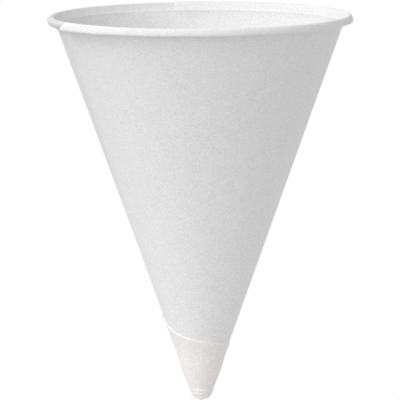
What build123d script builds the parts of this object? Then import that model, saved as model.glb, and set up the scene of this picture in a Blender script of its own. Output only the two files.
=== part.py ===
from build123d import *

import os
from math import cos, radians, sin, tan

# Cone paper cup: one glued sheet, wound one turn and three quarters, rolled at the rim and
# crimped at the tip. It stands mouth down, with the roll at Z = 0 and the tip pointing up.
# Sizes are in millimetres and degrees. Angles about Z are counted from +X.

# Paper
ply = 0.15                # one layer of the sheet
single_arc = 103          # stretch of the wall, left of the seam, that has one layer and not two

# Cone
mouth_radius = 35.0       # inside the cup, at the crease
half_angle = 19.94        # of the wall, from the axis

# Side seam: the outer layer's straight cut edge
seam_angle = -23          # where the seam meets the rim
seam_height = 72          # where it has come round to the +X side

# Rolled rim
crease_height = 1.93      # the crease below which the wall flares out
flare_angle = 35          # of the flare, from the axis
roll_arcs = [(0.7, 51), (0.8, 51), (1.05, 51), (0.75, 51)]  # the skin's radius, the angle it turns
slack_arcs = [(0.7, 51), (0.8, 51), (1.3, 51), (1.5, 48)]   # where one layer is rolled, less tightly
roll_gap = 0.2            # between the wall and the end of the roll
plain_height = 5          # where the rim's slices meet the plain cone
overlap = 1               # by which slices and cuts run past the form that they meet

# Tip wrap: the sheet's last turn, which covers the tip. Depths are below the cone's point.
wrap_front = [(24.8, 0), (22.2, -22), (20.7, -50), (19.8, -90), (19.2, -130), (18.8, -180)]
wrap_back = [(26.4, 0), (24.4, 40), (22.0, 90), (19.9, 140), (18.8, 180)]
wrap_start = 28           # where the wrap's cone starts, before it is cut to its edge

# Crimped tip
crimp_radius = 2.9        # of the tip where the crimp starts
crimp_step = 0.2          # in from there to the first ring
crimp_rings = [(0.95, 0.1), (1.75, 0.52), (2.5, 1.35)]  # height over its start, inset from its radius
ring_bulge = 0.13         # of each ring's blunt ridge
crimp_root = 0.3          # how far the crimp reaches down inside the wrap
floor_rise = 0.62         # of the hollow's closed end over the crimp's start
nub_radius = 0.6
nub_base = 2.72           # height over the crimp's start
nub_height = 0.25

# The winding. Each half turn is round about a centre line of its own. The two lie half a layer
# apart, so that the sheet has come in by one layer after a turn.
slope = tan(radians(half_angle))
layer = ply / cos(radians(half_angle))
apex = crease_height + (mouth_radius + 2 * layer) / slope
crimp_height = apex - (crimp_radius - layer) / slope
first_half = seam_angle - 180
second_half = seam_angle


def direction(angle):
    """Unit vector that points away from Z at this angle."""
    return Vector(cos(radians(angle)), sin(radians(angle)), 0)


def centre_line(angle, side):
    """The centre line of a half turn, a quarter of a layer from Z."""
    return Axis(direction(angle) * (side * layer / 4), (0, 0, 1))


def slice_plane(angle, axis):
    """Upright half plane at this angle, with local X away from the axis and local Y up."""
    outward = direction(angle)
    return Plane(origin=axis.position, x_dir=outward, z_dir=(outward.Y, -outward.X, 0))


def wall_radius(height):
    """Outer face of the outer layer."""
    return slope * (apex - height)


def cone_slice(inset, bottom, top):
    """Filled slice of the cone, from its centre line out to a face inset from the wall's."""
    with BuildLine() as outline:
        Polyline(
            (0, bottom),
            (wall_radius(bottom) - inset, bottom),
            (wall_radius(top) - inset, top),
            (0, top),
            close=True,
        )
    make_face(outline.edges())


def level_fall(arcs):
    """How far the roll's arcs lead down, from the flare to where the sheet runs level."""
    fall = 0
    heading = flare_angle
    for radius, turn in arcs:
        fall += (radius - ply) * (sin(radians(min(heading + turn, 90))) - sin(radians(min(heading, 90))))
        heading += turn
    return fall


def glue_line(inset, arcs):
    """Run of the sheet between its two layers, from the wall over the crease and round the roll."""
    wall_normal = Vector(cos(radians(half_angle)), sin(radians(half_angle)))
    flare_normal = Vector(cos(radians(flare_angle)), sin(radians(flare_angle)))
    bend = (wall_normal + flare_normal) / (1 + wall_normal.dot(flare_normal))
    crease = Vector(mouth_radius - inset, crease_height) + bend * ply
    start_height = plain_height + overlap
    start = Vector(wall_radius(start_height) - layer - inset, start_height)
    fall = crease.Y - ply - level_fall(arcs)
    Line(start, crease)
    run = Line(crease, crease + Vector(fall * tan(radians(flare_angle)), -fall))
    for radius, turn in arcs:
        run = JernArc(run @ 1, run % 1, radius - ply, turn)
    heading = run % 1
    inner_corner = run @ 1 + Vector(-heading.Y, heading.X) * ply
    room = (inner_corner.X + inset - wall_radius(inner_corner.Y)) * cos(radians(half_angle)) - roll_gap
    Line(run @ 1, run @ 1 + heading * (room / -heading.dot(wall_normal)))


def rim_slice(inset, arcs, sides):
    """Slice of the rolled rim, with a layer of paper on each of the given sides of its glue line."""
    for side in sides:
        with BuildLine() as outline:
            glue_line(inset, arcs)
            offset(amount=ply, side=side, kind=Kind.INTERSECTION)
        make_face(outline.edges())
    with Locations((wall_radius(plain_height), plain_height)):
        Rectangle(4 * overlap, 2 * overlap, align=(Align.CENTER, Align.MIN), mode=Mode.SUBTRACT)


def edge_points(edge):
    """The wrap's edge as seen from the side, each point just under the wall at its depth and angle."""
    return [((slope * depth - layer) * cos(radians(angle)), apex - depth) for depth, angle in edge]


def wrap_half(edge, axis, start_angle, inset, side):
    """Half of the tip wrap, cut to its edge as seen from the side."""
    wide = wall_radius(apex - wrap_start) + overlap
    with BuildPart() as half:
        with BuildSketch(slice_plane(start_angle, axis)):
            cone_slice(inset - layer, apex - wrap_start, crimp_height)
        revolve(axis=axis, revolution_arc=180)
        with BuildSketch(Plane.XZ):
            with BuildLine():
                points = edge_points(edge)
                cut = Spline(points)
                Polyline(
                    cut @ 1,
                    (-wide, points[-1][1]),
                    (-wide, apex - wrap_start - overlap),
                    (wide, apex - wrap_start - overlap),
                    (wide, points[0][1]),
                    cut @ 0,
                )
            make_face()
        extrude(amount=side * wide, mode=Mode.SUBTRACT)
    return half.part


near_line = centre_line(seam_angle, 1)
far_line = centre_line(seam_angle, -1)

# Outer form of the wall. The outer layer runs on past the half turn as far as its cut edge.
with BuildPart() as wall:
    with BuildSketch(slice_plane(first_half, near_line)):
        cone_slice(0, plain_height, crimp_height)
    revolve(axis=near_line, revolution_arc=180 - seam_angle)
    with BuildSketch(Plane.YZ):
        with BuildLine():
            rim_reach = wall_radius(0) * sin(radians(seam_angle))
            Polyline(
                (rim_reach, 0),
                (0, seam_height),
                (mouth_radius, seam_height),
                (mouth_radius, 0),
                close=True,
            )
        make_face()
    extrude(amount=mouth_radius * 2, mode=Mode.SUBTRACT)
    with BuildSketch(slice_plane(second_half, far_line)):
        cone_slice(layer / 2, plain_height, crimp_height)
    revolve(axis=far_line, revolution_arc=180)

# Tip wrap, wound the same way: its cut end lies on the +X side, from the edge to the tip
front_wrap = wrap_half(wrap_front, centre_line(0, 1), -180, 0, 1)
back_wrap = wrap_half(wrap_back, centre_line(0, -1), 0, layer / 2, -1)

# Crimp: the paper's folds pressed into rings, and the nub that the press leaves
with BuildPart() as crimp:
    with BuildSketch(Plane.XZ):
        with BuildLine():
            first = Vector(crimp_radius - crimp_step, crimp_height)
            start = first
            for rise, step in crimp_rings:
                end = Vector(crimp_radius - step, crimp_height + rise)
                along = (end - start).normalized()
                peak = (start + end) / 2 + Vector(along.Y, -along.X) * ring_bulge
                Polyline(start, peak, end)
                start = end
            nub_foot = crimp_height + nub_base
            Polyline(
                start,
                (nub_radius, nub_foot),
                (nub_radius, nub_foot + nub_height),
                (0, nub_foot + nub_height),
                (0, crimp_height - crimp_root),
                (crimp_radius - crimp_step, crimp_height - crimp_root),
                first,
            )
        make_face()
    revolve(axis=Axis.Z)

# The cup: wall, wrap and crimp, hollowed by the inner face of the sheet, and the rolled rim
with BuildPart() as cup:
    add(wall.part)
    add(front_wrap)
    add(back_wrap)
    add(crimp.part)
    hollows = [
        (near_line, first_half, 180, 2 * layer),
        (far_line, second_half, single_arc, 1.5 * layer),
        (far_line, second_half + single_arc, 180 - single_arc, 2.5 * layer),
    ]
    for axis, start_angle, arc, inset in hollows:
        with BuildSketch(slice_plane(start_angle, axis)):
            cone_slice(inset, plain_height - overlap, crimp_height + floor_rise)
        revolve(axis=axis, revolution_arc=arc, mode=Mode.SUBTRACT)
    both = [Side.LEFT, Side.RIGHT]
    rims = [
        (near_line, first_half, 180, 0, roll_arcs, both),
        (far_line, second_half, single_arc, layer / 2, slack_arcs, [Side.LEFT]),
        (far_line, second_half + single_arc, 180 - single_arc, layer / 2, roll_arcs, both),
    ]
    for axis, start_angle, arc, inset, arcs, sides in rims:
        with BuildSketch(slice_plane(start_angle, axis)):
            rim_slice(inset, arcs, sides)
        revolve(axis=axis, revolution_arc=arc)

cup.part.label = "cup"
os.makedirs("parts", exist_ok=True)
export_step(cup.part, "parts/cup.step")

box = cup.part.bounding_box()
print("solids", len(cup.part.solids()), "volume", round(cup.part.volume, 1), "size", box.size)
print("lowest", round(box.min.Z, 4), "highest", round(box.max.Z, 3), "apex", round(apex, 2))
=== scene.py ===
"""Cone paper cup: one sheet wound into a cone, rolled at the rim, wrapped and crimped at the tip."""

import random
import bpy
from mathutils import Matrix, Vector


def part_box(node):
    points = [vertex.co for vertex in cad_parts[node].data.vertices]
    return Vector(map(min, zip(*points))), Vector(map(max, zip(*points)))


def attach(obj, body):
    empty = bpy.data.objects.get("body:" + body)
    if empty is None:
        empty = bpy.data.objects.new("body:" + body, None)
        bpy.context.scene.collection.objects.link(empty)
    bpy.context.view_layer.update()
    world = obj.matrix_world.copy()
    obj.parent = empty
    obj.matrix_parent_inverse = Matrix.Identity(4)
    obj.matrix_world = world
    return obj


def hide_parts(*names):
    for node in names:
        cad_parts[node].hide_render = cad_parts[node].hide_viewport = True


bl_info = {
    "name": "Cone Paper Cup",
    "version": (1, 0, 0),
    "blender": (4, 5, 0),
    "location": "View3D > Sidebar > Paper Cup",
    "description": "Makes a wound paper cone cup with a rolled rim and a crimped tip",
    "category": "Add Mesh",
}

from collections import namedtuple
from math import asin, atan, cos, exp, hypot, pi, radians, sin, tan

import bmesh
import bpy
from bpy.props import FloatProperty, FloatVectorProperty, IntProperty, PointerProperty
from mathutils import Quaternion, Vector

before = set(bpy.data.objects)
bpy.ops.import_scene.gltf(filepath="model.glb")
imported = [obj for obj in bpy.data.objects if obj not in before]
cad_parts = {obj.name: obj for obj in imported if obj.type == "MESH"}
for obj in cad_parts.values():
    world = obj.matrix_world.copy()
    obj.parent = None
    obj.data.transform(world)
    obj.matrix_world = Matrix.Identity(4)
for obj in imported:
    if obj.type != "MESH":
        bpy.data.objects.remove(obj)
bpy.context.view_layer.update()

CUP = "cup"
BODY = "root"
MM = 0.001
TURN = 2 * pi
WELD = 0.001 * MM
CUP_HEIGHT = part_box(CUP)[1].z
EDGE_HIGHLIGHT = "edge"               # attribute: painted highlight, how much paler the paper is painted along its cut edges and scored crease
SINGLE_LAYER_AND_SHADE = "single"           # attribute: how much darker the paper is painted, partly for its single layer, partly painted shade


# Kinds of settings

def length_prop(name, description, millimetres):
    """A length, with its default in millimetres."""
    return FloatProperty(name=name, description=description, default=millimetres * MM, unit="LENGTH")


def lengths_prop(name, description, millimetres):
    """Several lengths, with their defaults in millimetres."""
    return FloatVectorProperty(
        name=name,
        description=description,
        default=[length * MM for length in millimetres],
        size=len(millimetres),
        unit="LENGTH",
    )


def angle_prop(name, description, degrees):
    """An angle, with its default in degrees."""
    return FloatProperty(name=name, description=description, default=radians(degrees), subtype="ANGLE")


def angles_prop(name, description, degrees):
    """Several angles, with their defaults in degrees."""
    return FloatVectorProperty(
        name=name,
        description=description,
        default=[radians(angle) for angle in degrees],
        size=len(degrees),
        unit="ROTATION",
    )


def share_prop(name, description, default):
    """A share of something, where one is all of it."""
    return FloatProperty(name=name, description=description, default=default, subtype="FACTOR")


def count_prop(name, description, default, least):
    """A number of things, with the least that works."""
    return IntProperty(name=name, description=description, default=default, min=least)


def colour_prop(name, description, default):
    """A colour."""
    return FloatVectorProperty(
        name=name, description=description, default=default, size=3, subtype="COLOR"
    )


def power_prop(name, description, watts):
    """A lamp's power."""
    return FloatProperty(name=name, description=description, default=watts, unit="POWER")


# Settings

class SheetSettings(bpy.types.PropertyGroup):
    """Sizes of the wound sheet: the cone, its lapped seam and the rolled rim."""

    ply: length_prop("Ply", "Thickness of one layer of the sheet", 0.15)
    mouth_radius: length_prop("Mouth Radius", "Inside the cup, at the crease above the flare", 35)
    half_angle: angle_prop("Half Angle", "Slope of the wall, from the cup's axis", 19.94)
    crease_height: length_prop("Crease Height", "Height of the crease between the wall and the flare", 1.93)
    crease_radius: length_prop("Crease Radius", "How round the crease is", 0.9)
    crease_ridge: length_prop("Crease Ridge", "How far the scored crease stands proud on the inside", 0.06)
    flare_angle: angle_prop("Flare Angle", "Slope of the flare below the crease, from the cup's axis", 35)
    roll_radii: lengths_prop(
        "Roll Radii", "Radii of the roll's skin, from the flare to its tail", (0.66, 0.65, 2.4, 0.42)
    )
    roll_turns: angles_prop(
        "Roll Turns", "Angle that each radius of the roll turns through", (51, 60, 29, 88)
    )
    slack_flare: angle_prop(
        "Slack Flare", "Slope of the flare beside the seam, where only one layer is rolled", 20.5
    )
    slack_radii: lengths_prop(
        "Slack Radii", "Radii of the roll beside the seam, where only one layer is rolled",
        (0.6, 1.6, 0.8, 1.3),
    )
    slack_turns: angles_prop(
        "Slack Turns", "Angle that each of those radii turns through", (65.5, 51, 45, 58)
    )
    roll_gap: length_prop("Roll Gap", "Between the wall and the end of the roll", 0.2)
    seam_angle: angle_prop("Seam Angle", "Where the outer layer's cut edge meets the rim, from +X", -23)
    seam_height: length_prop("Seam Height", "Where the outer layer's cut edge has come round to +X", 72)
    seam_lean: angle_prop(
        "Seam Lean", "How far the roll's end lies short of the seam at the rim's lowest line", 5.5
    )
    inner_end: angle_prop("Inner End", "Where the inner layer starts, from +X", 80)
    columns: count_prop("Columns", "Faces of the sheet round one turn", 288, least=48)
    ripple: length_prop("Ripple", "How far the wall wanders from a true cone", 0.06)
    ripple_length: length_prop("Ripple Length", "Length of the wall's ripples", 14)
    roll_unevenness: share_prop(
        "Roll Unevenness", "Share by which the roll swells and shrinks along the rim", 0.1
    )
    roll_length: length_prop(
        "Roll Wander Length", "Length along the rim over which the roll swells and shrinks", 9
    )
    seam_tuck: share_prop(
        "Seam Tuck", "Share by which the single roll is narrower where it enters the double one", 0.22
    )
    seam_opening: share_prop(
        "Seam Opening", "Share by which the double roll is wider at its end, over the single one", 0.24
    )
    seed: count_prop("Seed", "Picks one set of ripples", 4, least=0)


class WrapSettings(bpy.types.PropertyGroup):
    """Sizes of the tip wrap, the sheet's last turn. Depths are below the cone's point."""

    edge_depths: lengths_prop(
        "Edge Depths", "Depth of the wrap's cut edge at each of the edge angles",
        (26.4, 24.4, 22.0, 19.9, 18.9, 19.2, 19.85, 21.2, 22.85, 25.0),
    )
    edge_angles: angles_prop(
        "Edge Angles", "Angles from +X, round one turn, at which the edge depths are given",
        (0, 40, 90, 140, 180, 230, 270, 310, 338, 360),
    )
    bevel: length_prop("Bevel", "Width of the torn slope along the cut edge", 0.6)
    edge_thickness: share_prop(
        "Edge Thickness", "Share of the sheet's thickness that is left at the cut edge", 0.15
    )
    lip: length_prop("Lip", "How far the sheet stands off the wall beside its cut edge", 0.09)
    lip_length: length_prop("Lip Length", "Over which the sheet comes back to the wall", 1.6)
    swell: length_prop("Swell", "How far the wrap stands off where the crimp gathers it", 0.22)
    swell_length: length_prop("Swell Length", "How far up from the crimp the wrap stands off", 8)
    columns: count_prop("Columns", "Faces round the wrap", 192, least=24)
    rows: count_prop("Rows", "Faces from the wrap's edge to the tip", 36, least=4)


class CrimpSettings(bpy.types.PropertyGroup):
    """Sizes of the crimped tip."""

    radius: length_prop("Crimp Radius", "Radius of the tip where the crimp starts", 2.9)
    step: length_prop("Crimp Step", "In from there to the foot of the crimp, inside the wrap", 0.2)
    ring_rises: lengths_prop(
        "Ring Rises", "Height of each ring's end over the crimp's start", (0.95, 1.75, 2.5)
    )
    ring_insets: lengths_prop(
        "Ring Insets", "Inset of each ring's end from the crimp's radius", (0.27, 0.65, 1.4)
    )
    ring_bulges: lengths_prop(
        "Ring Bulges", "How far each ring stands out in front and behind", (0.19, 0.26, 0.42)
    )
    flatness: share_prop("Ring Flatness", "Share by which the rings stand out less at the sides", 0.7)
    root: length_prop("Root", "How far the crimp reaches down inside the wrap", 0.3)
    nub_radius: length_prop("Nub Radius", "Radius of the nub that the press leaves", 0.6)
    nub_base: length_prop("Nub Base", "Height of the nub's foot over the crimp's start", 2.72)
    pleats: count_prop("Pleats", "Small folds gathered round the tip", 11, least=2)
    pleat_depth: length_prop("Pleat Depth", "How deep the gathered folds are", 0.06)
    columns: count_prop("Columns", "Faces round the crimp", 160, least=24)
    ring_steps: count_prop("Ring Steps", "Faces across one ring", 9, least=3)


class FinishSettings(bpy.types.PropertyGroup):
    """Colours and grain of the paper, with the painted light, painted shade and painted highlight that its
    colours carry.
    """

    paper: colour_prop("Paper", "Colour of the uncoated paper", (0.834, 0.834, 0.836))
    # painted highlight: colour painted on the cut edges and, in part, on the scored crease
    cut_edge_highlight: colour_prop("Cut Edge", "Colour of the sheet's cut edges", (0.97, 0.965, 0.955))
    # painted light: the wall is painted paler towards the tip
    narrow_end_painted_light: colour_prop(
        "Narrow End", "Colour that the wall's paper turns towards away from the rim", (0.925, 0.925, 0.925)
    )
    tip: colour_prop("Tip", "Colour of the paper gathered at the tip", (0.955, 0.922, 0.908))
    mottle: share_prop("Mottle", "How much lighter and darker the paper's specks are", 0.19)
    # darker where single, partly painted shade
    single_layer_and_painted_shade: share_prop(
        "Single Shade", "Share by which the paper is darker where it has one layer", 0.07
    )
    grain_depth: length_prop("Grain Depth", "Height of the paper's surface grain", 0.02)


class StageSettings(bpy.types.PropertyGroup):
    """The camera, the lights and the floor."""

    elevation: angle_prop(
        "Elevation", "Of the camera over the mouth's plane, negative on the mouth's side", -5.9
    )
    roll: angle_prop("Roll", "Turn of the picture, which shows the cup tip down", 179.65)
    side_shift: length_prop("Side Shift", "Place on the X axis at the picture's centre", 0.155)
    picture_width: length_prop("Picture Width", "What the picture spans at the cup's axis", 97.9)
    axis_height: length_prop("Axis Height", "Height on the cup's axis at the picture's centre", 45.5)
    lens: FloatProperty(
        name="Lens",
        description="Focal length in millimetres, long as for a product picture",
        default=1500,
        subtype="DISTANCE_CAMERA",
    )
    ambient: FloatProperty(
        name="Ambient", description="Strength of the light from all round", default=0.594, min=0
    )
    ambient_lean: FloatVectorProperty(
        name="Ambient Lean",
        description="Shares by which that light is stronger on the positive side of each axis",
        default=(-0.095, 0, 0.1),
        subtype="XYZ",
    )
    key_power: power_prop("Key", "Power of the large soft lamp on the left of the picture", 13.55)
    mouth_power: power_prop("Mouth Lamp", "Power of the soft lamp that shines into the mouth", 2.2)
    top_power: power_prop("Top", "Power of the lamp above the floor", 0.045)
    back_power: power_prop(
        "Back", "Power of the soft lamp behind the cup, which the main view doesn't see", 1.9
    )
    floor_radius: length_prop("Floor Radius", "Where the floor ends, faded out", 600)


GROUPS = {
    "paper_cup_sheet": SheetSettings,
    "paper_cup_wrap": WrapSettings,
    "paper_cup_crimp": CrimpSettings,
    "paper_cup_finish": FinishSettings,
    "paper_cup_stage": StageSettings,
}


# The cone that every piece of the cup follows

class Cone:
    """Outer face of the cup's wall as a cone, from the sheet's settings."""

    def __init__(self, sheet):
        self.angle = sheet.half_angle
        self.slope = tan(sheet.half_angle)
        self.layer = sheet.ply / cos(sheet.half_angle)
        self.apex = sheet.crease_height + (sheet.mouth_radius + 2 * self.layer) / self.slope

    def radius(self, height):
        """Radius of the wall's outer face at this height."""
        return self.slope * (self.apex - height)

    def crimp_base(self, crimp):
        """Height at which the crimp starts."""
        return self.apex - (crimp.radius - self.layer) / self.slope


def across(heading):
    """Unit vector from the glue line to the back of the sheet. Headings turn outwards from down."""
    return Vector((cos(heading), 0, sin(heading)))


def along(heading):
    """Unit vector along the glue line."""
    return Vector((sin(heading), 0, -cos(heading)))


# Node trees

class Graph:
    """A node tree under construction."""

    def __init__(self, tree):
        self.tree = tree

    def plug(self, value, socket):
        """Feed a socket from another socket, or set its value."""
        if isinstance(value, bpy.types.NodeSocket):
            self.tree.links.new(value, socket)
        else:
            socket.default_value = value

    def add(self, kind, inputs=(), **options):
        """A node with its options set and its inputs, named or in order, fed."""
        node = self.tree.nodes.new(kind)
        for name, value in options.items():
            setattr(node, name, value)
        pairs = inputs.items() if isinstance(inputs, dict) else enumerate(inputs)
        for key, value in pairs:
            self.plug(value, node.inputs[key])
        return node

    def result(self, kind, inputs=(), **options):
        """The first output of such a node."""
        return self.add(kind, inputs, **options).outputs[0]

    def math(self, operation, *values):
        """The result of a math node."""
        return self.result("ShaderNodeMath", values, operation=operation)

    def vector(self, operation, *values):
        """The result of a vector math node."""
        return self.result("ShaderNodeVectorMath", values, operation=operation)

    def scaled(self, vector, factor):
        """A vector times a number."""
        inputs = {0: vector, "Scale": factor}
        return self.result("ShaderNodeVectorMath", inputs, operation="SCALE")

    # The sockets of a Mix node share their names, so they are found by their order

    def blend(self, factor, low, high):
        """A number between two others."""
        return self.result("ShaderNodeMix", {0: factor, 2: low, 3: high})

    def tint(self, factor, low, high, mode="MIX"):
        """A colour between two others, or multiplied by the second."""
        inputs = {0: factor, 6: low, 7: high}
        return self.add("ShaderNodeMix", inputs, data_type="RGBA", blend_type=mode).outputs[2]

    def choose(self, test, no, yes):
        """One of two places, by a test."""
        inputs = {"Switch": test, "False": no, "True": yes}
        return self.result("GeometryNodeSwitch", inputs, input_type="VECTOR")

    def noise(self, place, scale, detail=0.0):
        """Noise about zero, between minus one and one."""
        noise = self.result("ShaderNodeTexNoise", {"Vector": place, "Scale": scale, "Detail": detail})
        return self.math("MULTIPLY_ADD", noise, 2.0, -1.0)

    def ramp(self, value, start, end, form="SMOOTHSTEP"):
        """How far a value has come on the way from start to end, as a share."""
        inputs = {"Value": value, "From Min": start, "From Max": end}
        return self.result("ShaderNodeMapRange", inputs, interpolation_type=form)

    def fading(self, distance, length):
        """One at no distance, dying away over a length."""
        return self.math("EXPONENT", self.math("DIVIDE", self.math("MULTIPLY", distance, -1), length))

    def near(self, distance, reach):
        """One at no distance, and nothing from the reach on."""
        return self.math("SUBTRACT", 1, self.math("MINIMUM", self.math("DIVIDE", distance, reach), 1))

    def round_z(self, radius, angle, height):
        """The place at this radius and angle about Z."""
        x = self.math("MULTIPLY", radius, self.math("COSINE", angle))
        y = self.math("MULTIPLY", radius, self.math("SINE", angle))
        return self.result("ShaderNodeCombineXYZ", [x, y, height])


SOCKET_KINDS = {int: "Int", float: "Float", bpy.types.Material: "Material"}


def new_tree(name, inputs):
    """A geometry node tree with a geometry input and output and an input for each named value."""
    tree = bpy.data.node_groups.new(name, "GeometryNodeTree")
    tree.interface.new_socket("Geometry", in_out="OUTPUT", socket_type="NodeSocketGeometry")
    tree.interface.new_socket("Geometry", in_out="INPUT", socket_type="NodeSocketGeometry")
    for label, value in inputs.items():
        kind = "NodeSocket" + SOCKET_KINDS[type(value)]
        tree.interface.new_socket(label, in_out="INPUT", socket_type=kind)
    return tree


def cleared_graph(owner):
    """The emptied node tree of a material or a world."""
    owner.use_nodes = True
    owner.node_tree.nodes.clear()
    return Graph(owner.node_tree)


def add_object(name, data):
    """A new object in the scene, at the origin."""
    made = bpy.data.objects.new(name, data)
    bpy.context.scene.collection.objects.link(made)
    return made


def run_tree(name, base, tree, values):
    """The plain mesh object that a tree makes out of a base mesh."""
    piece = add_object(name, base)
    modifier = piece.modifiers.new(tree.name, "NODES")
    modifier.node_group = tree
    for socket in tree.interface.items_tree:
        if socket.in_out == "INPUT" and socket.name in values:
            modifier[socket.identifier] = values[socket.name]
    depsgraph = bpy.context.evaluated_depsgraph_get()
    made = bpy.data.meshes.new_from_object(piece.evaluated_get(depsgraph))
    piece.modifiers.clear()
    piece.data = made
    return piece


# The wound sheet

WALL_TOP_REACH = 0.2 * MM   # of the wall's end, up inside the crimp
WALL_ROWS = 56
CREASE_ROWS = 4
FLARE_ROWS = 4
ARC_ROWS = 5
TAIL_ROWS = 2
WINDING_STEPS = 2           # at the seam and at the inner end
SEAM_CROWDING = 1.5         # how much closer the columns stand towards the seam
HIGHLIGHT_STRIP = 0.9 * MM       # width of the painted highlight along a cut edge
ROLL_END_LEAN = 0.4         # share of the seam's lean that is left at the roll's end
SCORE_HIGHLIGHT = 0.7        # painted highlight on the scored crease, as a share of the cut edges' painted highlight
WALL_HIGHLIGHT = 0.15           # share of the painted highlight along the seam that shows on the wall
FLARE_SHADE = 1.3           # of the single layer's darkening on the flare, where it doesn't fade; partly painted shade
BESIDE_SHADE = 0.6          # painted shade on the double layer beside the seam, as a share of the single layer's darkening
SHADE_LENGTH = 6 * MM       # over which that dies away
TUCK_LENGTH = 4.5 * MM      # along the rim, over which the single roll slips into the double one
SLACK_END = 0.2             # share of the way from the seam to the inner end with the slack roll
TIGHT_START = 0.55          # share of that way where the roll has its usual form
OPENING_LENGTH = 20 * MM    # along the rim, over which the double roll widens towards its end
FOLDS = (                   # angle, width and depth of the small folds in the rim
    (radians(64.7), radians(1.1), 0.10 * MM),
    (radians(245.6), radians(1.6), 0.08 * MM),
)


# A place on the sheet's glue line in a slice through the cup's axis, and what it is part of
Station = namedtuple("Station", "place heading ridge roll rim", defaults=(0.0, 0.0, 0.0))


def walk(place, heading, length, turn, rows):
    """Places and headings along a run of the sheet that turns evenly, after its start."""
    found = []
    for row in range(1, rows + 1):
        share = row / rows
        if turn:
            radius = length / turn
            centre = place + across(heading) * radius
            found.append((centre - across(heading + turn * share) * radius, heading + turn * share))
        else:
            found.append((place + along(heading) * length * share, heading))
    return found


def level_fall(sheet, flare, radii, turns):
    """How far the roll's arcs lead down, from the flare to where the sheet runs level."""
    fall = 0
    heading = flare
    for radius, turn in zip(radii, turns):
        last = min(heading + turn, pi / 2)
        fall += (radius - sheet.ply) * (sin(last) - sin(min(heading, pi / 2)))
        heading += turn
    return fall


def glue_line(sheet, cone, top, flare, radii, turns):
    """Stations along the sheet, from the tip down the wall, over the crease and round the roll."""
    wall = sheet.half_angle
    bend = (across(wall) + across(flare)) / (1 + across(wall).dot(across(flare)))
    crease = Vector((sheet.mouth_radius, 0, sheet.crease_height)) + bend * sheet.ply
    start = Vector((cone.radius(top) - cone.layer, 0, top))
    trim = sheet.crease_radius * tan((flare - wall) / 2)
    fall = crease.z - sheet.ply - level_fall(sheet, flare, radii, turns)

    stations = [Station(start, wall)]
    for place, heading in walk(start, wall, (crease - start).length - trim, 0, WALL_ROWS):
        stations.append(Station(place, heading))
    bent = walk(place, wall, sheet.crease_radius * (flare - wall), flare - wall, CREASE_ROWS)
    for row, (place, heading) in enumerate(bent, 1):
        stations.append(Station(place, heading, ridge=sin(pi * row / CREASE_ROWS)))
    flared = walk(place, flare, fall / cos(flare) - trim, 0, FLARE_ROWS)
    for row, (place, heading) in enumerate(flared, 1):
        stations.append(Station(place, heading, rim=row / FLARE_ROWS))
    for number, (radius, turn) in enumerate(zip(radii, turns)):
        arc = walk(place, heading, (radius - sheet.ply) * turn, turn, ARC_ROWS)
        for row, (place, heading) in enumerate(arc, 1):
            done = (number + row / ARC_ROWS) / len(radii)
            stations.append(Station(place, heading, roll=float(heading > pi / 2), rim=1 - done))
    corner = place + across(heading) * sheet.ply
    room = (corner.x - cone.radius(corner.z)) * cos(wall) - sheet.roll_gap
    tail = room / -along(heading).dot(across(wall))
    for place, heading in walk(place, heading, tail, 0, TAIL_ROWS):
        stations.append(Station(place, heading, roll=1.0))
    return stations


def tight_line(sheet, cone, top):
    """The glue line where the roll has its usual form."""
    return glue_line(sheet, cone, top, sheet.flare_angle, sheet.roll_radii, sheet.roll_turns)


def seam_angle_at(sheet, cone, station):
    """Angle of the outer layer's cut edge. It is straight, seen from the side, and leans at the rim."""
    height = station.place.z
    if station.roll or height <= sheet.crease_height:
        depth = 1 - min(height / sheet.crease_height, 1)
        lean = ROLL_END_LEAN + (1 - ROLL_END_LEAN) * depth if station.roll else depth
        return sheet.seam_angle - sheet.seam_lean * lean
    reach = cone.radius(0) * sin(sheet.seam_angle)
    left = max(1 - height / sheet.seam_height, 0)
    return asin(reach * left / cone.radius(height))


def section_mesh(sheet, cone, top):
    """Closed outline of the sheet in a slice, with its places for one layer and for two."""
    tight = tight_line(sheet, cone, top)
    slack = glue_line(sheet, cone, top, sheet.slack_flare, sheet.slack_radii, sheet.slack_turns)
    forms = {name: [] for name in ("slack_layer", "one_layer", "two_layers")}
    marks = {name: [] for name in ("seam", "roll", "rim", "skin", "score")}

    def add_row(loose, firm, one_offset, two_offset, skin):
        forms["slack_layer"].append(loose.place + across(loose.heading) * one_offset)
        forms["one_layer"].append(firm.place + across(firm.heading) * one_offset)
        forms["two_layers"].append(firm.place + across(firm.heading) * two_offset)
        marks["seam"].append(seam_angle_at(sheet, cone, firm))
        marks["roll"].append(firm.roll)
        marks["rim"].append(firm.rim)
        marks["skin"].append(skin)
        marks["score"].append(firm.ridge * skin)

    for loose, firm in zip(slack, tight):
        ridge = sheet.crease_ridge * firm.ridge
        add_row(loose, firm, -ridge, -sheet.ply - ridge, 1.0)
    for loose, firm in zip(reversed(slack), reversed(tight)):
        add_row(loose, firm, sheet.ply, sheet.ply, 0.0)

    mesh = bpy.data.meshes.new("sheet_section")
    mesh.from_pydata(forms["two_layers"], [], [])
    for name, places in forms.items():
        flat = [part for place in places for part in place]
        mesh.attributes.new(name, "FLOAT_VECTOR", "POINT").data.foreach_set("vector", flat)
    for name, values in marks.items():
        mesh.attributes.new(name, "FLOAT", "POINT").data.foreach_set("value", values)
    return mesh


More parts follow.
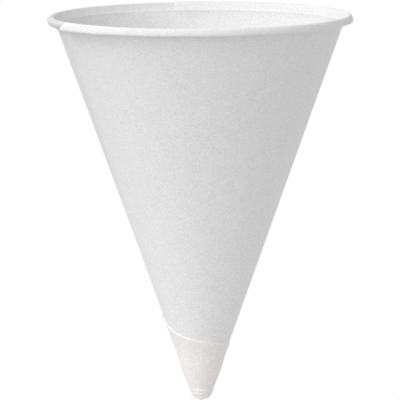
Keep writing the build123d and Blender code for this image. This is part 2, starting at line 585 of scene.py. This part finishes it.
class SheetTree(Graph):
    """Winds the outline of the sheet round Z, with a step at the seam and one at the inner end."""

    def __init__(self, inputs):
        super().__init__(new_tree("Wind Sheet", inputs))
        self.given = self.add("NodeGroupInput").outputs
        grid = self.lay_grid()
        self.turn_columns()
        self.rolled, self.rim, self.skin = (self.sampled(name) for name in ("roll", "rim", "skin"))
        place = self.rolled_place()
        radius = self.math("ADD", place["X"], self.winding_shift())
        radius = self.rippled(self.folded(radius), place["Z"])
        marked = self.store(grid, EDGE_HIGHLIGHT, self.painted_highlight(radius))
        marked = self.store(marked, SINGLE_LAYER_AND_SHADE, self.single_layer_and_painted_shade(radius))
        self.end(marked, self.round_z(radius, self.angle, place["Z"]))

    def lay_grid(self):
        """A grid with a column twice wherever the winding steps. Its last column is its first."""
        math, given = self.math, self.given
        rows = self.add("GeometryNodeAttributeDomainSize", [given["Geometry"]]).outputs["Point Count"]
        grid_rows = math("ADD", rows, 1)
        whole_turn = math("ADD", given["Columns"], WINDING_STEPS)
        grid_columns = math("ADD", whole_turn, 1)
        index = self.result("GeometryNodeInputIndex")
        self.column = math("MODULO", math("FLOOR", math("DIVIDE", index, grid_rows)), whole_turn)
        self.row = math("MODULO", math("MODULO", index, grid_rows), rows)
        sizes = {"Size X": 1, "Size Y": 1, "Vertices X": grid_columns, "Vertices Y": grid_rows}
        return self.add("GeometryNodeMeshGrid", sizes).outputs["Mesh"]

    def sampled(self, name, kind="FLOAT"):
        """The section's attribute at this row."""
        field = self.result("GeometryNodeInputNamedAttribute", {"Name": name}, data_type=kind)
        inputs = {"Geometry": self.given["Geometry"], "Value": field, "Index": self.row}
        return self.result("GeometryNodeSampleIndex", inputs, data_type=kind)

    def turn_columns(self):
        """Gives the columns their angles, closer together towards the seam."""
        math, given = self.math, self.given
        stretch = math("DIVIDE", math("SUBTRACT", given["Inner End"], given["Seam Angle"]), TURN)
        single = math("ROUND", math("MULTIPLY", given["Columns"], stretch))
        double = math("SUBTRACT", given["Columns"], single)
        self.is_double = math("GREATER_THAN", self.column, single)
        self.single_share = math("DIVIDE", self.column, single)
        first = math("SUBTRACT", math("SUBTRACT", self.column, single), 1)
        left = math("SUBTRACT", 1, math("DIVIDE", first, double))
        double_share = math("SUBTRACT", 1, math("POWER", math("MAXIMUM", left, 0), SEAM_CROWDING))
        seam = self.sampled("seam")
        seam_end = math("ADD", seam, TURN)
        self.angle = self.blend(
            self.is_double,
            self.blend(self.single_share, seam, given["Inner End"]),
            self.blend(double_share, given["Inner End"], seam_end),
        )
        self.past_seam = math("SUBTRACT", self.angle, seam)
        self.before_seam = math("SUBTRACT", seam_end, self.angle)

    def winding_shift(self):
        """Shift of the half turns, whose two centre lines lie half a layer apart."""
        math, layer = self.math, self.given["Layer"]
        turned = math("SUBTRACT", self.angle, self.given["Seam Angle"])
        sway = math("MULTIPLY", math("COSINE", turned), math("DIVIDE", layer, 4))
        far_shift = math("SUBTRACT", math("MULTIPLY", sway, -1), math("DIVIDE", layer, 2))
        return self.blend(math("GREATER_THAN", turned, pi), far_shift, sway)

    def end_growth(self):
        """Growth of the roll beside the seam, where the single one slips into the double one."""
        math, given = self.math, self.given
        past = math("MULTIPLY", self.past_seam, given["Mouth Radius"])
        before = math("MULTIPLY", self.before_seam, given["Mouth Radius"])
        narrowing = math("MULTIPLY", given["Seam Tuck"], -1)
        tucked = math("MULTIPLY", self.fading(past, given["Tuck Length"]), narrowing)
        opened = math("MULTIPLY", self.fading(before, given["Opening Length"]), given["Seam Opening"])
        return self.blend(self.is_double, tucked, opened)

    def rolled_place(self):
        """Place in the section. The roll swells and shrinks about its lowest line."""
        math, given = self.math, self.given
        slack, one, two = (
            self.sampled(name, "FLOAT_VECTOR") for name in ("slack_layer", "one_layer", "two_layers")
        )
        tightness = self.ramp(self.single_share, SLACK_END, TIGHT_START)
        one = self.vector("ADD", slack, self.scaled(self.vector("SUBTRACT", one, slack), tightness))
        place = self.choose(self.is_double, one, two)
        scale = math("DIVIDE", given["Mouth Radius"], given["Roll Length"])
        wander = self.noise(self.round_z(1, self.angle, given["Seed"]), scale, detail=1.0)
        growth = math("ADD", math("MULTIPLY", wander, given["Roll Unevenness"]), self.end_growth())
        growth = math("MULTIPLY_ADD", growth, self.rolled, 1)
        lowest = self.result("ShaderNodeCombineXYZ", [given["Ridge Radius"]])
        from_lowest = self.scaled(self.vector("SUBTRACT", place, lowest), growth)
        return self.add("ShaderNodeSeparateXYZ", [self.vector("ADD", from_lowest, lowest)]).outputs

    def folded(self, radius):
        """The radius with the small folds in the rim."""
        math = self.math
        for middle, width, depth in FOLDS:
            off = math("DIVIDE", math("SUBTRACT", self.angle, middle), width)
            dent = self.fading(math("MULTIPLY", off, off), 1)
            radius = math("MULTIPLY_ADD", math("MULTIPLY", dent, self.rim), -depth, radius)
        return radius

    def rippled(self, radius, height):
        """The radius with the wall's ripples, which die away towards the tip."""
        math, given = self.math, self.given
        spot = self.round_z(radius, self.angle, height)
        offset = self.result("ShaderNodeCombineXYZ", [given["Seed"], given["Seed"], 0])
        spot = self.vector("ADD", self.scaled(spot, math("DIVIDE", 1, given["Ripple Length"])), offset)
        size = math("MULTIPLY", given["Ripple"], math("DIVIDE", radius, given["Mouth Radius"]))
        return math("MULTIPLY_ADD", self.noise(spot, 1.0), size, radius)

    def painted_highlight(self, radius):
        """Painted highlight: how much paler the paper is painted along its two cut edges and its scored
        crease, where they catch the light.
        """
        math, given = self.math, self.given
        seam_width = math("MULTIPLY", math("ADD", self.rolled, 1), given["Highlight Strip"])
        near_seam = self.near(math("MULTIPLY", self.before_seam, radius), seam_width)
        outside = math("MULTIPLY", math("SUBTRACT", 1, self.skin), WALL_HIGHLIGHT)
        seam_highlight = math("MULTIPLY", near_seam, math("MAXIMUM", outside, self.rolled))
        from_start = math("ABSOLUTE", math("SUBTRACT", self.angle, given["Inner End"]))
        near_start = self.near(math("MULTIPLY", from_start, radius), given["Highlight Strip"])
        inside = math("MULTIPLY", math("MAXIMUM", self.rim, WALL_HIGHLIGHT), self.skin)
        start_highlight = math("MULTIPLY", near_start, inside)
        highlight = math("MULTIPLY", math("MAXIMUM", seam_highlight, start_highlight), self.is_double)
        return math("MAXIMUM", highlight, math("MULTIPLY", self.sampled("score"), SCORE_HIGHLIGHT))

    def single_layer_and_painted_shade(self, radius):
        """How much darker the paper is painted: partly its single layer's own tone, partly painted shade on
        the flare, in the hollow roll and beside the seam, with a soft step across the seam.
        """
        math = self.math
        faded = math("SUBTRACT", 1, math("MULTIPLY", self.single_share, self.single_share))
        faded = self.blend(self.rim, faded, FLARE_SHADE)
        # doubled on the roll, as painted shade in the hollow single roll
        faded = math("MULTIPLY", faded, math("ADD", self.rolled, 1))
        # painted shade on the double layer beside the seam
        beside = self.fading(math("MULTIPLY", self.before_seam, radius), SHADE_LENGTH)
        on_wall = math("SUBTRACT", 1, self.rolled)
        beside = math("MULTIPLY", math("MULTIPLY", beside, BESIDE_SHADE), on_wall)
        return self.blend(self.is_double, faded, beside)

    def store(self, geometry, name, value):
        """The geometry with a number stored on its points."""
        inputs = {"Geometry": geometry, "Name": name, "Value": value}
        return self.result("GeometryNodeStoreNamedAttribute", inputs, data_type="FLOAT")

    def end(self, grid, position):
        """Places the grid's points, welds them and gives them the paper."""
        wound = self.result("GeometryNodeSetPosition", {"Geometry": grid, "Position": position})
        welded = self.result("GeometryNodeMergeByDistance", {"Geometry": wound, "Distance": WELD})
        real = self.result("GeometryNodeRealizeInstances", [welded])
        inputs = {"Geometry": real, "Material": self.given["Material"]}
        self.add("NodeGroupOutput", [self.result("GeometryNodeSetMaterial", inputs)])


# The tip

WRAP_SINK = 0.3             # share of a layer by which the wrap's back lies in the wall
ROW_CROWDING = 1.6          # how much closer the wrap's rows stand towards its cut edge
PLEAT_SEED = 11
PLEAT_WAVES = 4             # of different lengths, whose sum is the gathered folds
WAVE_SHARES = (0.4, 1)      # smallest and largest height of one wave
RING_WOBBLE = 0.07 * MM     # how far a ring wanders up and down round the tip
WOBBLE_START = 1.3          # of that wander, before +X, in radians
RING_FULLNESS = 0.5         # under one, the rings are full and the grooves between them sharp
NUB_ROUND = 0.7             # share of the nub's radius left at its top
NUB_GATHER = 0.5            # how gathered the nub is, as the crimp is halfway up


def smooth_through(stops, values, at):
    """A smooth curve through the values at these stops, which rise, read at one place."""
    count = len(stops)
    last = next(number for number in range(1, count) if at <= stops[number] or number == count - 1)
    first = last - 1

    def slope(number):
        low, high = max(number - 1, 0), min(number + 1, count - 1)
        return (values[high] - values[low]) / (stops[high] - stops[low])

    span = stops[last] - stops[first]
    share = (at - stops[first]) / span
    rise = share * share * (3 - 2 * share)
    start = share * (1 - share) ** 2 * slope(first)
    end = share * share * (share - 1) * slope(last)
    return values[first] + (values[last] - values[first]) * rise + span * (start + end)


def grid_mesh(name, columns, painted_highlight=(), poles=False):
    """Closed mesh of columns of places that run round Z. Columns are loops, or end in poles."""
    mesh = bmesh.new()
    # painted highlight on each point, where given
    layer = mesh.verts.layers.float.new(EDGE_HIGHLIGHT)
    made = [[mesh.verts.new(place) for place in column] for column in columns]
    for column, values in zip(made, painted_highlight):
        for vertex, value in zip(column, values):
            vertex[layer] = value
    rows = len(columns[0])
    for number, column in enumerate(made):
        following = made[(number + 1) % len(made)]
        for row in range(rows - 1 if poles else rows):
            after = (row + 1) % rows
            mesh.faces.new((column[row], following[row], following[after], column[after]))
    bmesh.ops.remove_doubles(mesh, verts=mesh.verts, dist=WELD)
    data = bpy.data.meshes.new(name)
    mesh.to_mesh(data)
    mesh.free()
    return data


def wrap_lift(cone, angle, turned):
    """How far the wrap's outer face stands off the cone. It comes out by a layer in its turn."""
    sway = cone.layer / 4 * cos(angle)
    return cone.layer + sway if turned else cone.layer / 2 - sway


def wrap_column(wrap, cone, base, angle, turned):
    """Loop of places round the wrap's section at this angle, and the painted highlight on each along the
    cut edge.
    """
    edge = cone.apex - smooth_through(wrap.edge_angles, wrap.edge_depths, angle)
    outside = []
    inside = []
    painted_highlight = []
    for row in range(wrap.rows + 1):
        height = edge + (base - edge) * (row / wrap.rows) ** ROW_CROWDING
        gathered = min((base - height) / wrap.swell_length, 1)
        radius = cone.radius(height) + wrap_lift(cone, angle, turned) + wrap.swell * sin(pi * gathered)
        past_edge = (height - edge) / cos(cone.angle)
        distance = min(past_edge / wrap.bevel, 1)
        end_distance = min((TURN - angle) * radius / wrap.bevel, 1) if turned else 1
        rounded = sin(pi / 2 * distance)
        lip = wrap.lip * rounded * exp(-max(past_edge - wrap.bevel, 0) / wrap.lip_length)
        thickness = wrap.edge_thickness + (1 - wrap.edge_thickness) * rounded
        outside.append((radius + lip - cone.layer * (1 - thickness), height))
        inside.append((radius - cone.layer * (1 + WRAP_SINK), height))
        # painted highlight on the torn slope along the cut edge and at the wrap's cut end
        painted_highlight.append(1 - distance * end_distance)
    loop = outside + inside[::-1]
    places = [Vector((radius * cos(angle), radius * sin(angle), height)) for radius, height in loop]
    return places, painted_highlight


def wrap_mesh(wrap, cone, base):
    """The wrap, from its cut end at +X round to the same place a layer further out."""
    half = wrap.columns // 2
    angles = [(pi * number / half, False) for number in range(half + 1)]
    angles += [(pi + pi * number / half, True) for number in range(1, half + 1)]
    found = [wrap_column(wrap, cone, base, angle, turned) for angle, turned in angles]
    return grid_mesh("tip_wrap", *zip(*found))


def crimp_outline(crimp, base, radius, fullness):
    """Radius and height up the crimp's skin, from the wrap's, with how gathered each place is."""
    root = base - crimp.root
    start = (radius, base)
    points = [(0, root, 0), (radius - crimp.step, root, 0), (*start, 0)]
    rings = zip(crimp.ring_rises, crimp.ring_insets, crimp.ring_bulges)
    for number, (rise, inset, bulge) in enumerate(rings):
        end = (crimp.radius - inset, base + rise)
        width, climb = end[0] - start[0], end[1] - start[1]
        length = hypot(width, climb)
        for step in range(1, crimp.ring_steps + 1):
            share = step / crimp.ring_steps
            out = bulge * fullness * sin(pi * share) ** RING_FULLNESS
            points.append((
                start[0] + width * share + out * climb / length,
                start[1] + climb * share - out * width / length,
                (number + share) / len(crimp.ring_rises),
            ))
        start = end
    nub_foot = base + crimp.nub_base
    points.append((crimp.nub_radius, nub_foot, NUB_GATHER))
    points.append((crimp.nub_radius, (nub_foot + CUP_HEIGHT) / 2, NUB_GATHER))
    points.append((crimp.nub_radius * NUB_ROUND, CUP_HEIGHT, NUB_GATHER))
    points.append((0, CUP_HEIGHT, 0))
    return points


def pleat_waves(crimp):
    """Number round the tip, start and height of the waves that make up the gathered folds."""
    draw = random.Random(PLEAT_SEED)
    fewest, most = crimp.pleats // 2, crimp.pleats * 2
    return [
        (draw.randint(fewest, most), draw.uniform(0, TURN), draw.uniform(*WAVE_SHARES))
        for _ in range(PLEAT_WAVES)
    ]


def crimp_mesh(crimp, cone, base):
    """The crimped tip: rings pressed into gathered folds, and the nub."""
    waves = pleat_waves(crimp)
    columns = []
    for number in range(crimp.columns):
        angle = TURN * number / crimp.columns
        wrap_radius = cone.radius(base) + wrap_lift(cone, angle, angle > pi)
        fullness = 1 - crimp.flatness * cos(angle) ** 2
        fold = sum(share * sin(count * angle + phase) for count, phase, share in waves) / len(waves)
        column = []
        for radius, height, gathered in crimp_outline(crimp, base, wrap_radius, fullness):
            out = max(radius + crimp.pleat_depth * gathered * fold, 0) if radius else 0
            halfway = 1 - abs(2 * gathered - 1)
            rise = RING_WOBBLE * sin(angle + WOBBLE_START) * halfway
            column.append(Vector((out * cos(angle), out * sin(angle), height + rise)))
        columns.append(column)
    return grid_mesh("crimped_tip", columns, poles=True)


# Finish

CLOUD_SIZE = 3.5 * MM
CLOUD_SHARE = 0.15
SPECKLE_SIZE = 0.42 * MM
GRAIN_SIZE = 0.3 * MM
COARSE_SIZE = 0.9 * MM
COARSE_SHARE = 0.8
ROUGHNESS = 0.82
TIP_START = 20 * MM         # below the top, where the tip's colour starts
TIP_FULL = 8 * MM           # below the top, where it is full
SHARP = radians(32)         # angle from which an edge isn't shaded smooth


def grain_group():
    """Clouds and surface grain of uncoated paper, for a place on the cup."""
    tree = bpy.data.node_groups.new("Paper Grain", "ShaderNodeTree")
    tree.interface.new_socket("Place", in_out="INPUT", socket_type="NodeSocketVector")
    tree.interface.new_socket("Cloud", in_out="OUTPUT", socket_type="NodeSocketFloat")
    tree.interface.new_socket("Height", in_out="OUTPUT", socket_type="NodeSocketFloat")
    graph = Graph(tree)
    place = graph.add("NodeGroupInput").outputs["Place"]
    cloud = graph.noise(place, 1 / CLOUD_SIZE, detail=2.0)
    speckle = graph.noise(place, 1 / SPECKLE_SIZE, detail=2.0)
    grain = graph.noise(place, 1 / GRAIN_SIZE, detail=3.0)
    coarse = graph.noise(place, 1 / COARSE_SIZE, detail=1.0)
    graph.add("NodeGroupOutput", [
        graph.math("MULTIPLY_ADD", cloud, CLOUD_SHARE, speckle),
        graph.math("MULTIPLY_ADD", coarse, COARSE_SHARE, grain),
    ])
    return tree


def paper_colour(graph, finish, place):
    """Colour of the paper before its clouds: warmer at the tip, painted paler away from the rim as painted
    light, with a painted highlight along the cut edges and scored crease.
    """
    height = graph.add("ShaderNodeSeparateXYZ", [place]).outputs["Z"]
    from_rim = graph.math("DIVIDE", height, CUP_HEIGHT)
    near_tip = graph.ramp(height, CUP_HEIGHT - TIP_START, CUP_HEIGHT - TIP_FULL)
    # painted highlight along the cut edges and scored crease
    edge = graph.add("ShaderNodeAttribute", attribute_name=EDGE_HIGHLIGHT).outputs["Fac"]
    # painted light, paler towards the tip
    paper = graph.tint(from_rim, (*finish.paper, 1), (*finish.narrow_end_painted_light, 1))
    paper = graph.tint(near_tip, paper, (*finish.tip, 1))
    return graph.tint(edge, paper, (*finish.cut_edge_highlight, 1))


def paper_material(finish):
    """Uncoated white paper, a little clouded, with painted light and highlights in its colour, darker where
    it is single and with painted shade. Made once.
    """
    found = bpy.data.materials.get("cup_paper")
    if found:
        return found
    material = bpy.data.materials.new("cup_paper")
    graph = cleared_graph(material)
    place = graph.add("ShaderNodeTexCoord").outputs["Object"]
    grain = graph.add("ShaderNodeGroup", node_tree=grain_group())
    graph.plug(place, grain.inputs["Place"])
    clouds = graph.math("MULTIPLY_ADD", grain.outputs["Cloud"], finish.mottle, 1)
    # the single layer's darker tone, partly painted shade
    single = graph.add("ShaderNodeAttribute", attribute_name=SINGLE_LAYER_AND_SHADE).outputs["Fac"]
    light = graph.math("MULTIPLY", clouds, graph.math("MULTIPLY_ADD", single, -finish.single_layer_and_painted_shade, 1))
    shade = graph.result("ShaderNodeCombineColor", [light, light, light])
    colour = graph.tint(1.0, paper_colour(graph, finish, place), shade, mode="MULTIPLY")
    relief = {"Strength": 1.0, "Distance": finish.grain_depth, "Height": grain.outputs["Height"]}
    normal = graph.result("ShaderNodeBump", relief)
    surface = {"Base Color": colour, "Roughness": ROUGHNESS, "Normal": normal}
    shader = graph.result("ShaderNodeBsdfPrincipled", surface)
    graph.add("ShaderNodeOutputMaterial", [shader])
    return material


def turn_outwards(data):
    """Makes the faces of a closed mesh point outwards."""
    mesh = bmesh.new()
    mesh.from_mesh(data)
    bmesh.ops.recalc_face_normals(mesh, faces=mesh.faces)
    mesh.to_mesh(data)
    mesh.free()


def settle(piece, material):
    """Gives a finished piece its material and its place in the cup."""
    mesh = piece.data
    turn_outwards(mesh)
    if not mesh.materials:
        mesh.materials.append(material)
    mesh.shade_smooth()
    mesh.set_sharp_from_angle(angle=SHARP)
    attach(piece, BODY)
    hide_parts(CUP)


# Operators

class PAPER_CUP_OT_wound_sheet(bpy.types.Operator):
    """Make the cup's wall and rolled rim from one wound sheet"""

    bl_idname = "paper_cup.wound_sheet"
    bl_label = "Wound Sheet"

    def execute(self, context):
        scene = context.scene
        sheet = scene.paper_cup_sheet
        cone = Cone(sheet)
        top = cone.crimp_base(scene.paper_cup_crimp) + WALL_TOP_REACH
        ridge = min(tight_line(sheet, cone, top), key=lambda station: station.place.z)
        material = paper_material(scene.paper_cup_finish)
        inputs = {
            "Columns": sheet.columns,
            "Seam Angle": sheet.seam_angle,
            "Inner End": sheet.inner_end,
            "Layer": cone.layer,
            "Mouth Radius": sheet.mouth_radius,
            "Ridge Radius": ridge.place.x,
            "Ripple": sheet.ripple,
            "Ripple Length": sheet.ripple_length,
            "Roll Unevenness": sheet.roll_unevenness,
            "Roll Length": sheet.roll_length,
            "Highlight Strip": HIGHLIGHT_STRIP,
            "Seam Tuck": sheet.seam_tuck,
            "Seam Opening": sheet.seam_opening,
            "Tuck Length": TUCK_LENGTH,
            "Opening Length": OPENING_LENGTH,
            "Seed": sheet.seed,
            "Material": material,
        }
        section = section_mesh(sheet, cone, top)
        settle(run_tree("wound_sheet", section, SheetTree(inputs).tree, inputs), material)
        return {"FINISHED"}


class PAPER_CUP_OT_tip_wrap(bpy.types.Operator):
    """Make the sheet's last turn, which covers the tip"""

    bl_idname = "paper_cup.tip_wrap"
    bl_label = "Tip Wrap"

    def execute(self, context):
        scene = context.scene
        cone = Cone(scene.paper_cup_sheet)
        mesh = wrap_mesh(scene.paper_cup_wrap, cone, cone.crimp_base(scene.paper_cup_crimp))
        settle(add_object("tip_wrap", mesh), paper_material(scene.paper_cup_finish))
        return {"FINISHED"}


class PAPER_CUP_OT_crimped_tip(bpy.types.Operator):
    """Make the pressed rings and the nub that close the tip"""

    bl_idname = "paper_cup.crimped_tip"
    bl_label = "Crimped Tip"

    def execute(self, context):
        scene = context.scene
        cone = Cone(scene.paper_cup_sheet)
        crimp = scene.paper_cup_crimp
        mesh = crimp_mesh(crimp, cone, cone.crimp_base(crimp))
        settle(add_object("crimped_tip", mesh), paper_material(scene.paper_cup_finish))
        return {"FINISHED"}


FLOOR_CLEARANCE = 0.01 * MM
FLOOR_SEGMENTS = 96
FLOOR_COLOUR = (0.9, 0.9, 0.9, 1)
FLOOR_GLOW = 0.28           # that the floor adds for the camera, so that it shows pale
FLOOR_FADE = (0.3, 0.95)    # shares of the floor's radius where it starts to fade and is gone
SENSOR = 36                 # width in millimetres
LAMPS = {                   # direction from the cup, distance and size in metres
    "key": ((0.56, -0.64, -0.52), 2.0, 1.6),
    "mouth": ((0.56, -0.22, -0.8), 0.8, 0.5),
    "top": ((0.45, -0.35, 0.82), 0.25, 0.15),
    "back": ((0, 0.99, 0.1), 1.0, 0.4),
}


def floor_material(radius):
    """Pale floor that shows from above only and fades out at its rim."""
    material = bpy.data.materials.new("floor")
    graph = cleared_graph(material)
    place = graph.add("ShaderNodeTexCoord").outputs["Object"]
    distance = graph.add("ShaderNodeVectorMath", [place], operation="LENGTH").outputs["Value"]
    start, end = (radius * share for share in FLOOR_FADE)
    below = graph.add("ShaderNodeNewGeometry").outputs["Backfacing"]
    hidden = graph.math("MAXIMUM", below, graph.ramp(distance, start, end, form="LINEAR"))
    matt = graph.result("ShaderNodeBsdfDiffuse", {"Color": FLOOR_COLOUR})
    glow = graph.result("ShaderNodeEmission", {"Strength": FLOOR_GLOW})
    paint = graph.result("ShaderNodeAddShader", [matt, glow])
    clear = graph.result("ShaderNodeBsdfTransparent")
    shown = graph.result("ShaderNodeMixShader", [hidden, paint, clear])
    graph.add("ShaderNodeOutputMaterial", [shown])
    return material


def add_lamp(name, power, target):
    """A square soft lamp that looks at the target."""
    source, distance, size = LAMPS[name]
    lamp = bpy.data.lights.new(name, "AREA")
    lamp.energy = power
    lamp.size = size
    holder = add_object(name, lamp)
    holder.location = target + Vector(source).normalized() * distance
    holder.rotation_mode = "QUATERNION"
    holder.rotation_quaternion = Vector(source).to_track_quat("Z", "Y")
    holder.visible_camera = False


class PAPER_CUP_OT_stage(bpy.types.Operator):
    """Set up the camera, the soft light and the pale floor"""

    bl_idname = "paper_cup.stage"
    bl_label = "Stage"

    def execute(self, context):
        scene = context.scene
        stage = scene.paper_cup_stage
        self.add_camera(scene, stage)
        self.add_light(scene, stage)
        self.add_floor(stage)
        scene.view_settings.view_transform = "Standard"
        return {"FINISHED"}

    def add_camera(self, scene, stage):
        """The camera looks along +Y from the mouth's side, turned so that the tip hangs down."""
        camera = bpy.data.cameras.new("camera")
        camera.lens = stage.lens
        camera.sensor_width = SENSOR
        holder = add_object("camera", camera)
        back = Vector((0, -cos(stage.elevation), sin(stage.elevation)))
        half_view = atan(SENSOR / 2 / camera.lens)
        target = Vector((stage.side_shift, 0, stage.axis_height))
        holder.location = target + back * (stage.picture_width / 2 / tan(half_view))
        holder.rotation_mode = "QUATERNION"
        upright = (-back).to_track_quat("-Z", "Y")
        holder.rotation_quaternion = upright @ Quaternion((0, 0, 1), stage.roll)
        scene.camera = holder

    def add_light(self, scene, stage):
        """Light from all round, which looks white itself, and four soft lamps."""
        world = bpy.data.worlds.new("studio")
        graph = cleared_graph(world)
        rays = graph.add("ShaderNodeLightPath").outputs
        seen = graph.math("MAXIMUM", rays["Is Camera Ray"], rays["Is Glossy Ray"])
        seen = graph.math("MAXIMUM", seen, rays["Is Transmission Ray"])
        place = graph.add("ShaderNodeTexCoord").outputs["Object"]
        lean = graph.add("ShaderNodeVectorMath", [place, stage.ambient_lean], operation="DOT_PRODUCT")
        light = graph.math("MULTIPLY_ADD", lean.outputs["Value"], stage.ambient, stage.ambient)
        strength = graph.blend(seen, light, 1.0)
        sky = graph.result("ShaderNodeBackground", {"Color": (1, 1, 1, 1), "Strength": strength})
        graph.add("ShaderNodeOutputWorld", [sky])
        scene.world = world
        middle = Vector((0, 0, stage.axis_height))
        add_lamp("key", stage.key_power, middle)
        add_lamp("mouth", stage.mouth_power, middle)
        add_lamp("top", stage.top_power, middle)
        add_lamp("back", stage.back_power, middle)

    def add_floor(self, stage):
        """The floor shows the cup's shadow but holds no light back from the mouth."""
        mesh = bmesh.new()
        bmesh.ops.create_circle(mesh, cap_ends=True, segments=FLOOR_SEGMENTS, radius=stage.floor_radius)
        bmesh.ops.translate(mesh, verts=mesh.verts, vec=(0, 0, -FLOOR_CLEARANCE))
        data = bpy.data.meshes.new("floor")
        mesh.to_mesh(data)
        mesh.free()
        data.materials.append(floor_material(stage.floor_radius))
        floor = add_object("floor", data)
        floor.visible_shadow = False
        floor.visible_diffuse = False
        floor.visible_glossy = False
        floor.visible_transmission = False


class PAPER_CUP_PT_panel(bpy.types.Panel):
    """Lists the cup's pieces and their settings"""

    bl_idname = "PAPER_CUP_PT_panel"
    bl_label = "Cone Paper Cup"
    bl_space_type = "VIEW_3D"
    bl_region_type = "UI"
    bl_category = "Paper Cup"

    def draw(self, context):
        for operator in OPERATORS:
            self.layout.operator(operator.bl_idname)
        for name, group in GROUPS.items():
            box = self.layout.box()
            for setting in group.__annotations__:
                box.prop(getattr(context.scene, name), setting)


OPERATORS = (
    PAPER_CUP_OT_wound_sheet,
    PAPER_CUP_OT_tip_wrap,
    PAPER_CUP_OT_crimped_tip,
    PAPER_CUP_OT_stage,
)
CLASSES = (*GROUPS.values(), *OPERATORS, PAPER_CUP_PT_panel)


def register():
    for kind in CLASSES:
        bpy.utils.register_class(kind)
    for name, group in GROUPS.items():
        setattr(bpy.types.Scene, name, PointerProperty(type=group))


def unregister():
    for name in GROUPS:
        delattr(bpy.types.Scene, name)
    for kind in reversed(CLASSES):
        bpy.utils.unregister_class(kind)


def main():
    register()
    bpy.ops.paper_cup.wound_sheet()
    bpy.ops.paper_cup.tip_wrap()
    bpy.ops.paper_cup.crimped_tip()
    bpy.ops.paper_cup.stage()


if __name__ == "__main__":
    main()
